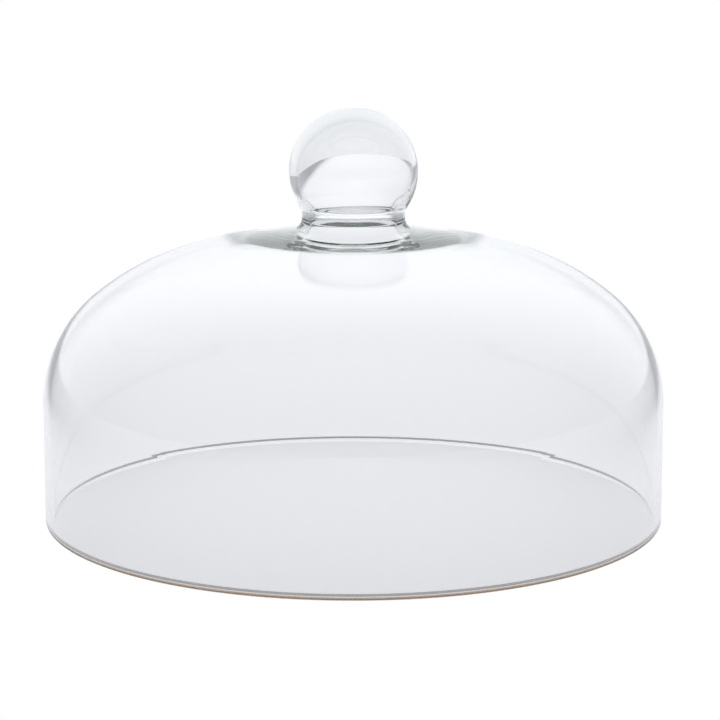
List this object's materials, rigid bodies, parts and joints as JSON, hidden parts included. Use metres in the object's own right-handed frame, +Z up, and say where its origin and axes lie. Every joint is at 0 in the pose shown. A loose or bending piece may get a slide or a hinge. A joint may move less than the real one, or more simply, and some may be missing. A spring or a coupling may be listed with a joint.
{
  "type": "glass cloche",
  "caption": "Clear glass cloche with a straight wall, round shoulder and shallow crown, lifted by a hollow ball knob, for covering food on a flat plate or board.",
  "frame": {"origin": "centre of the rim, in the plane that the rim rests on", "axes": "+Z up along the axis of revolution, through the ball knob"},
  "size_m": [0.29, 0.29, 0.194],
  "materials": {
    "dome_glass": "clear blown glass, fire-polished, faint grey-green in the thickness",
    "seal_glass": "clear fused glass, grey-green where it is thick",
    "knob_glass": "clear blown glass, fire-polished"
  },
  "bodies": {
    "root": {"bell": "dome_glass", "seal_ring": "seal_glass", "knob": "knob_glass"}
  },
  "joints": []
}
